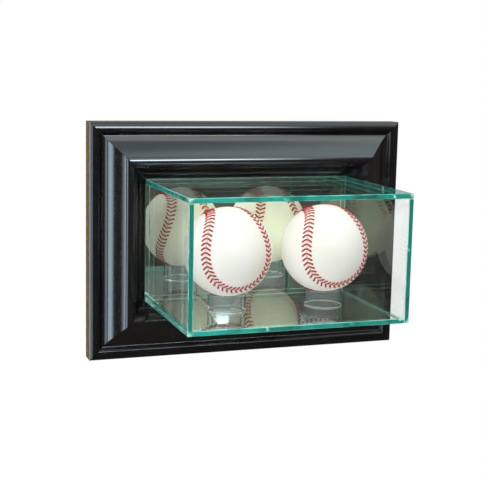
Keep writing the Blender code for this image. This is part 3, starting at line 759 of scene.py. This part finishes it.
def screw_mesh(node, shank, head_profile, cross, depth):
    """A screw the size of a CAD node. Its head's profile: shares of its radius, and mm below its top."""
    low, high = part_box(node)
    head = (high.x - low.x) / 2
    point = low.y - high.y
    profile = [(0, point), (0.3 * shank, point), (shank, point + 2 * MM), (shank, -1.2 * MM)]
    profile += [(share * head, -below * MM) for share, below in head_profile]
    return cross_recess(turned_about_y(profile, SCREW_SIDES), 0, cross * head, depth)


def fixing_group(name, fixing_mesh, spots):
    """Like fixings of the case, set out as one piece. A spot is a CAD node, a place and a turn."""
    nodes, places, turns = zip(*spots)
    pattern = bpy.data.objects.new(name + "_pattern", fixing_mesh)
    holder = loose_points(name, places)
    mark(holder.data, "turn", "FLOAT", turns)
    tree = bpy.data.node_groups.get("set_out_fixings") or fixings_tree()
    use_tree(holder, tree, {"Fixing": pattern, "Size": 1.0, "Finish": zinc_plate()})
    make_plain(holder)
    holder.data.shade_smooth()
    holder.data.set_sharp_from_angle(angle=radians(FIXING_CREASE))
    bpy.data.objects.remove(pattern)
    return seat(holder, "case", "zinc_plated_steel", *nodes)


class CASE_OT_moulding(bpy.types.Operator):
    """Make the four mitred lengths of scooped moulding"""

    bl_idname = "display_case.moulding"
    bl_label = "Frame Moulding"

    def execute(self, context):
        for node, outward in LENGTHS.items():
            shape = merged_copy(node)
            bmesh.ops.dissolve_limit(shape, angle_limit=FLAT_ENOUGH, verts=shape.verts, edges=shape.edges)
            low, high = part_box(node)
            reach = max(low.dot(outward), high.dot(outward))
            for face in shape.faces:
                middle = face.calc_center_median()
                to_wall = face.normal.y
                if reach - middle.dot(outward) < 0.1 * MM:
                    face.material_index = 1
                elif to_wall > 0.3 or abs(to_wall) < 0.3 and middle.y > RABBET_FLOOR:
                    face.material_index = 2
            finishes = [black_lacquer(), side_stain(), bare_wood(node.split("_")[-1])]
            make_piece(node + "_moulding", shape, finishes, "case", "black_lacquered_wood", node,
                       MOULDING_CREASE)
        return {"FINISHED"}


class CASE_OT_glass_box(bpy.types.Operator):
    """Make the five panes of the glass box"""

    bl_idname = "display_case.glass_box"
    bl_label = "Glass Box"

    def execute(self, context):
        for node, (axis, open_ends) in PANES.items():
            low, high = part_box(node)
            shape = bmesh.new()
            size = Matrix.Diagonal((*(high - low), 1.0))
            bmesh.ops.create_cube(shape, size=1.0, matrix=Matrix.Translation((low + high) / 2) @ size)
            bmesh.ops.bevel(shape, geom=shape.edges, offset=sizes().arris, segments=1, affect="EDGES")
            shape.normal_update()
            for face in shape.faces:
                normal = face.normal
                if abs(normal[axis]) > 0.99 or axis == 1:
                    continue
                flat = max(abs(c) for c in normal) > 0.99
                if normal.y > 0.6:
                    face.material_index = 0 if flat else 2
                elif normal.y < -0.6 or any(normal.dot(way) > 0.6 for way in open_ends):
                    face.material_index = 1 if flat else 2
            finishes = [pane_face(), pane_edge(), pane_arris()]
            make_piece(node + "_glass", shape, finishes, "case", "clear_glass", node)
        return {"FINISHED"}


class CASE_OT_glazing_bead(bpy.types.Operator):
    """Run the clear bead round the glass box"""

    bl_idname = "display_case.glazing_bead"
    bl_label = "Glazing Bead"

    def execute(self, context):
        low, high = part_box("glazing_bead")
        bead = high.y - low.y
        holder = new_object("glazing_bead_run", bpy.data.meshes.new("glazing_bead_run"), [])
        use_tree(holder, bead_tree(), {
            "Width": high.x - low.x - bead, "Height": high.z - low.z - bead, "Bead": bead,
            "Middle": (low + high) / 2, "Finish": set_sealant()})
        make_plain(holder)
        seat(holder, "case", "clear_sealant", "glazing_bead")
        return {"FINISHED"}


class CASE_OT_rear_panel(bpy.types.Operator):
    """Make the mirror and the hardboard behind it"""

    bl_idname = "display_case.rear_panel"
    bl_label = "Mirror and Board"

    def execute(self, context):
        shape = rounded_copy("mirror_pane", SHEET_ROUND)
        shape.normal_update()
        for face in shape.faces:
            if face.normal.y > 0.9:
                face.material_index = 2
            elif face.normal.y > -0.99:
                face.material_index = 1
        finishes = [mirror_face(), pane_edge(), mirror_backing()]
        make_piece("mirror_sheet", shape, finishes, "rear_panel", "silvered_glass", "mirror_pane")
        shape = rounded_copy("backing_board", SHEET_ROUND)
        make_piece("backing_sheet", shape, [pressed_fibre()], "rear_panel", "hardboard", "backing_board")
        return {"FINISHED"}


class CASE_OT_turn_buttons(bpy.types.Operator):
    """Make the turn buttons that hold the rear panel, and their screws"""

    bl_idname = "display_case.turn_buttons"
    bl_label = "Turn Buttons"

    def execute(self, context):
        spots = []
        for side, turn in (("top", 0.2), ("right", 0.9), ("bottom", 1.4), ("left", 0.5)):
            node = "turn_button_" + side
            plate_in_zinc(node, node + "_plate", sizes().metal_round, side + "_button")
            screw = "turn_button_screw_" + side
            spots.append((screw, outer_face(screw), turn))
        pan_head = ((1, 1.15), (1, 0.75), (0.85, 0.3), (0.5, 0.06), (0.25, 0), (0, 0))
        mesh = screw_mesh(spots[0][0], 1.4 * MM, pan_head, 0.95, 0.8 * MM)
        fixing_group("turn_button_screws", mesh, spots)
        return {"FINISHED"}


class CASE_OT_hangers(bpy.types.Operator):
    """Make the keyhole plates and their countersunk screws"""

    bl_idname = "display_case.hangers"
    bl_label = "Keyhole Hangers"

    def execute(self, context):
        spots = []
        for side in ("left", "right"):
            node = "keyhole_plate_" + side
            plate_in_zinc(node, node + "_steel", HANGER_ROUND, "case")
            for place, turn in (("left", 0.4), ("right", 1.1)):
                screw = "keyhole_" + side + "_screw_" + place
                spots.append((screw, outer_face(screw), turn))
        flat_head = ((1, 0.12), (0.96, 0), (0, 0))
        mesh = screw_mesh(spots[0][0], 1.25 * MM, flat_head, 1.15, 0.7 * MM)
        fixing_group("keyhole_plate_screws", mesh, spots)
        return {"FINISHED"}


class CASE_OT_mitre_nails(bpy.types.Operator):
    """Set the V nails that join the mitres"""

    bl_idname = "display_case.mitre_nails"
    bl_label = "V Nails"

    def execute(self, context):
        first = "v_nail_top_right_outer"
        shape = rounded_copy(first, NAIL_ROUND)
        middle = middle_of(first)
        for vert in shape.verts:
            vert.co -= middle
        spots = []
        corners = (("top_right", 0), ("bottom_right", pi / 2), ("bottom_left", pi), ("top_left", -pi / 2))
        for corner, turn in corners:
            for place in ("outer", "inner"):
                node = "v_nail_" + corner + "_" + place
                spots.append((node, middle_of(node), turn))
        fixing_group("mitre_nails", plain_mesh("v_nail", shape), spots)
        return {"FINISHED"}


class CASE_OT_risers(bpy.types.Operator):
    """Turn the clear tubes that the balls sit on"""

    bl_idname = "display_case.risers"
    bl_label = "Risers"

    def execute(self, context):
        turns = [2 * pi * i / RISER_SIDES for i in range(RISER_SIDES)]
        for side in ("left", "right"):
            node = "riser_" + side
            low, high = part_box(node)
            middle = (low + high) / 2
            outer = (high.x - low.x) / 2
            inner = outer - RISER_WALL
            ease = sizes().rim_round
            tall = high.z - low.z
            profile = []
            for radius, z, start in ((outer - ease, ease, -pi / 2), (outer - ease, tall - ease, 0),
                                     (inner + ease, tall - ease, pi / 2), (inner + ease, ease, pi)):
                for k in range(RIM_STEPS + 1):
                    turn = start + pi / 2 * k / RIM_STEPS
                    profile.append((radius + ease * cos(turn), z + ease * sin(turn)))
            shape = bmesh.new()
            rings = []
            for radius, z in profile:
                ring = [(middle.x + radius * cos(a), middle.y + radius * sin(a), low.z + z) for a in turns]
                rings.append([shape.verts.new(place) for place in ring])
            for near, far in zip(rings, rings[1:] + rings[:1]):
                for i in range(RISER_SIDES):
                    shape.faces.new((near[i - 1], near[i], far[i], far[i - 1]))
            bmesh.ops.recalc_face_normals(shape, faces=shape.faces)
            for face in shape.faces:
                place = face.calc_center_median()
                if place.z < low.z + ease and (place - middle).xy.length > outer - ease:
                    face.material_index = 1
            finishes = [polished_acrylic(), sawn_acrylic()]
            make_piece(node + "_tube", shape, finishes, "case", "clear_acrylic", node, RISER_CREASE)
        return {"FINISHED"}


def seam_frame(t):
    """A point of the seam on a ball of radius 1, the seam's direction there, and the direction across it."""
    body = 1 - SEAM_LOBE
    raw = Vector((body * cos(t) + SEAM_LOBE * cos(3 * t), body * sin(t) - SEAM_LOBE * sin(3 * t),
                  SEAM_SWING * sin(2 * t)))
    move = Vector((-body * sin(t) - 3 * SEAM_LOBE * sin(3 * t), body * cos(t) - 3 * SEAM_LOBE * cos(3 * t),
                   2 * SEAM_SWING * cos(2 * t)))
    point = raw.normalized()
    along = (move - move.dot(point) * point).normalized()
    return point, along, along.cross(point)


def seam_run():
    """Fine samples of the seam with the distance travelled to each, on a ball of radius 1."""
    samples = [seam_frame(2 * pi * i / SEAM_SAMPLES) for i in range(SEAM_SAMPLES)]
    travelled = [0.0]
    for i in range(SEAM_SAMPLES):
        travelled.append(travelled[-1] + (samples[(i + 1) % SEAM_SAMPLES][0] - samples[i][0]).length)
    return samples, travelled


class CASE_OT_balls(bpy.types.Operator):
    """Make the two stitched leather balls"""

    bl_idname = "display_case.balls"
    bl_label = "Balls"

    def cover(self, name, middle, samples, travelled):
        """The leather, swollen beside the seam and drawn down at the seam and at each stitch's hole."""
        radius = sizes().ball_diameter / 2
        shape = bmesh.new()
        bmesh.ops.create_icosphere(shape, subdivisions=BALL_SUBDIVISIONS, radius=1.0)
        near = KDTree(len(samples))
        for i, (point, _, _) in enumerate(samples):
            near.insert(point, i)
        near.balance()
        mesh = plain_mesh(name, shape)
        spacing = travelled[-1] / sizes().stitches
        turn = BALL_TURN.to_matrix()
        distances = []
        for vert in mesh.vertices:
            index = near.find(vert.co)[1]
            point, along, across = samples[index]
            offset = vert.co - point
            away = abs(offset.dot(across)) * radius if offset.length < 0.1 else radius
            distances.append(away)
            lift = sizes().seam_rise * exp(-((away - SWELL_PLACE) / SWELL_WIDTH) ** 2)
            lift -= sizes().seam_dip * exp(-(away / DIP_WIDTH) ** 2)
            phase = (travelled[index] + offset.dot(along) - sizes().stitch_slant / radius) / spacing
            hole = (0.5 + 0.5 * cos(2 * pi * phase)) ** 3
            lift -= HOLE_DEPTH * hole * exp(-((away - sizes().stitch_reach) / HOLE_WIDTH) ** 2)
            vert.co = turn @ (vert.co * (radius + lift)) + middle
        mark(mesh, "from_seam", "FLOAT", distances)
        mesh.shade_smooth()
        return new_object(name, mesh, [ball_leather()])

    def stitches(self, name, middle, samples, travelled):
        """Points for the stitches, and the tree that sews them."""
        radius = sizes().ball_diameter / 2
        turn = BALL_TURN.to_matrix()
        points = []
        rises = []
        alongs = []
        i = 0
        for k in range(sizes().stitches):
            wanted = travelled[-1] * k / sizes().stitches
            while travelled[i + 1] < wanted:
                i += 1
            share = (wanted - travelled[i]) / (travelled[i + 1] - travelled[i])
            point, along, _ = seam_frame(2 * pi * (i + share) / SEAM_SAMPLES)
            points.append(turn @ (point * radius) + middle)
            rises += list(turn @ point)
            alongs += list(turn @ -along)
        holder = loose_points(name, points)
        mark(holder.data, "rise", "FLOAT_VECTOR", rises)
        mark(holder.data, "along", "FLOAT_VECTOR", alongs)
        tree = bpy.data.node_groups.get("stitch_the_seam") or stitches_tree()
        use_tree(holder, tree, {
            "Reach": sizes().stitch_reach, "Slant": sizes().stitch_slant, "Thread": sizes().thread,
            "Lift": 0.5 * MM, "Sink": 0.4 * MM, "Finish": waxed_thread()})
        return make_plain(holder)

    def execute(self, context):
        samples, travelled = seam_run()
        for side in ("left", "right"):
            ball = "ball_" + side
            middle = middle_of(ball + "_core")
            cover = self.cover(ball + "_leather", middle, samples, travelled)
            seat(cover, ball, "white_leather", ball + "_core", ball + "_cover_a", ball + "_cover_b")
            sewn = self.stitches(ball + "_sewing", middle, samples, travelled)
            seat(sewn, ball, "red_thread", ball + "_stitches")
        return {"FINISHED"}


def band(tree, value, low, high, soft):
    """One between two levels, fading at both ends."""
    return times(tree, ramp(tree, value, low - soft, low + soft),
                 ramp(tree, value, high - soft, high + soft, 1.0, 0.0))


def light_room():
    """White to the eye and through glass, even on matt surfaces, and a dim room with windows in gloss."""
    world = bpy.data.worlds.new("studio")
    bpy.context.scene.world = world
    world.use_nodes = True
    tree = world.node_tree
    tree.nodes.clear()
    way = add(tree, "ShaderNodeTexCoord").outputs["Generated"]
    x, y, z = add(tree, "ShaderNodeSeparateXYZ", {0: way}).outputs
    ahead = times(tree, y, -1.0)
    bearing = math(tree, "ARCTAN2", x, ahead)
    low = ramp(tree, z, 0.06, 0.1, 1.0, 0.0)
    room = blend_colour(tree, ramp(tree, z, -0.4, 0.05), (0.05, 0.044, 0.036), (0.09, 0.08, 0.072))
    for start, end, soft, colour in LOW_LIGHTS:
        share = times(tree, low, band(tree, bearing, radians(start), radians(end), radians(soft)))
        room = blend_colour(tree, share, room, colour)
    # A dim sheen, three levels that rise to the ceiling, a bright window, and the wall behind the case.
    share = times(tree, band(tree, z, 0.08, 0.225, 0.01), band(tree, bearing, 0.05, 0.37, 0.05))
    room = blend_colour(tree, share, room, (0.42, 0.47, 0.48))
    room = blend_colour(tree, ramp(tree, z, 0.28, 0.36), room, (0.65, 0.8, 0.83))
    room = blend_colour(tree, ramp(tree, z, 0.42, 0.58), room, (1.8, 1.85, 1.85))
    high = blend_colour(tree, ramp(tree, bearing, 0.6, 1.0), (0.6, 0.78, 0.82), (1.3, 1.6, 1.65))
    room = blend_colour(tree, ramp(tree, z, 0.76, 0.86), room, high)
    share = times(tree, band(tree, z, 0.235, 0.38, 0.015), band(tree, bearing, 0.12, 0.38, 0.06))
    room = blend_colour(tree, share, room, (11.0, 13.5, 15.0))
    room = blend_colour(tree, ramp(tree, y, 0.55, 0.8), room, (0.55, 0.56, 0.56))
    rays = add(tree, "ShaderNodeLightPath").outputs
    level = bpy.context.scene.case_stage.ambient
    even = (level, level * 1.01, level * 1.0)
    direct = math(tree, "SUBTRACT", 1.0, rays["Diffuse Depth"], clamp=True)
    seen = blend_colour(tree, rays["Is Glossy Ray"], even, (3.6, 3.55, 3.45))
    seen = blend_colour(tree, times(tree, rays["Is Glossy Ray"], direct), seen, room)
    clear = math(tree, "MAXIMUM", rays["Is Camera Ray"], rays["Is Transmission Ray"])
    seen = blend_colour(tree, clear, seen, (1.0, 1.0, 1.0))
    light = out(tree, "ShaderNodeBackground", {"Color": seen, "Strength": 1.0})
    add(tree, "ShaderNodeOutputWorld", {0: light})


def soft_lamp(name, place, target, wide, tall, power, colour):
    """A soft light that isn't seen in gloss."""
    lamp = bpy.data.lights.new(name, "AREA")
    lamp.shape = "RECTANGLE"
    lamp.size = wide
    lamp.size_y = tall
    lamp.energy = power
    lamp.color = colour
    made = bpy.data.objects.new(name, lamp)
    bpy.context.scene.collection.objects.link(made)
    made.location = place
    made.rotation_euler = (Vector(target) - Vector(place)).to_track_quat("-Z", "Y").to_euler()
    made.visible_glossy = False
    return made


class CASE_OT_stage(bpy.types.Operator):
    """Set up the floor, the light and the camera"""

    bl_idname = "display_case.stage"
    bl_label = "Stage"

    def execute(self, context):
        stage = context.scene.case_stage
        shape = bmesh.new()
        size = Matrix.Diagonal((*FLOOR_SIZE, 1, 1))
        bmesh.ops.create_grid(shape, x_segments=8, y_segments=8, size=0.5,
                              matrix=Matrix.Translation((0, -0.2, stage.floor_height)) @ size)
        floor = new_object("floor", plain_mesh("floor", shape), [pale_floor()])
        floor.visible_glossy = False
        middle = (0, -0.06, -0.09)
        soft_lamp("key_light", (-0.75, -0.8, 0.45), middle, 0.7, 0.7, stage.key_power, (0.95, 0.98, 1.0))
        soft_lamp("top_light", (0.2, -0.35, 0.95), middle, 0.9, 0.6, stage.top_power, (1.0, 0.99, 0.97))
        light_room()
        context.scene.view_settings.view_transform = "Standard"
        self.camera(context, stage)
        return {"FINISHED"}

    def camera(self, context, stage):
        """The camera, at the photograph's place and angle."""
        lens = bpy.data.cameras.new("camera")
        lens.sensor_width = 36
        lens.lens = stage.lens
        lens.shift_x, lens.shift_y = CAMERA_SHIFT
        lens.clip_start = 0.01
        camera = bpy.data.objects.new("camera", lens)
        context.scene.collection.objects.link(camera)
        level = cos(CAMERA_DROP)
        forward = Vector((sin(CAMERA_TURN) * level, cos(CAMERA_TURN) * level, -sin(CAMERA_DROP)))
        right = Vector((cos(CAMERA_TURN), -sin(CAMERA_TURN), 0))
        up = right.cross(forward)
        c, s = cos(CAMERA_ROLL), sin(CAMERA_ROLL)
        right, up = c * right + s * up, c * up - s * right
        axes = Matrix((right, up, -forward)).transposed().to_4x4()
        camera.matrix_world = Matrix.Translation(CAMERA_PLACE) @ axes
        context.scene.camera = camera


STEPS = (CASE_OT_moulding, CASE_OT_glass_box, CASE_OT_glazing_bead, CASE_OT_rear_panel, CASE_OT_turn_buttons,
         CASE_OT_hangers, CASE_OT_mitre_nails, CASE_OT_risers, CASE_OT_balls, CASE_OT_stage)


class CASE_PT_panel(bpy.types.Panel):
    """The case's pieces and settings"""

    bl_idname = "CASE_PT_panel"
    bl_label = "Display Case"
    bl_space_type = "VIEW_3D"
    bl_region_type = "UI"
    bl_category = "Display Case"

    def draw(self, context):
        for step in STEPS:
            self.layout.operator(step.bl_idname)
        for group in (context.scene.case_sizes, context.scene.case_colours, context.scene.case_stage):
            box = self.layout.box()
            for key in group.bl_rna.properties.keys():
                if key not in ("rna_type", "name"):
                    box.prop(group, key)


CLASSES = (CaseSizes, CaseColours, CaseStage, *STEPS, CASE_PT_panel)


def register():
    """Register the classes and their settings."""
    for kind in CLASSES:
        bpy.utils.register_class(kind)
    bpy.types.Scene.case_sizes = bpy.props.PointerProperty(type=CaseSizes)
    bpy.types.Scene.case_colours = bpy.props.PointerProperty(type=CaseColours)
    bpy.types.Scene.case_stage = bpy.props.PointerProperty(type=CaseStage)


def unregister():
    """Take the settings and the classes away."""
    del bpy.types.Scene.case_stage
    del bpy.types.Scene.case_colours
    del bpy.types.Scene.case_sizes
    for kind in reversed(CLASSES):
        bpy.utils.unregister_class(kind)


def main():
    """Make every piece."""
    register()
    for step in STEPS:
        group, name = step.bl_idname.split(".")
        getattr(getattr(bpy.ops, group), name)()


if __name__ == "__main__":
    main()
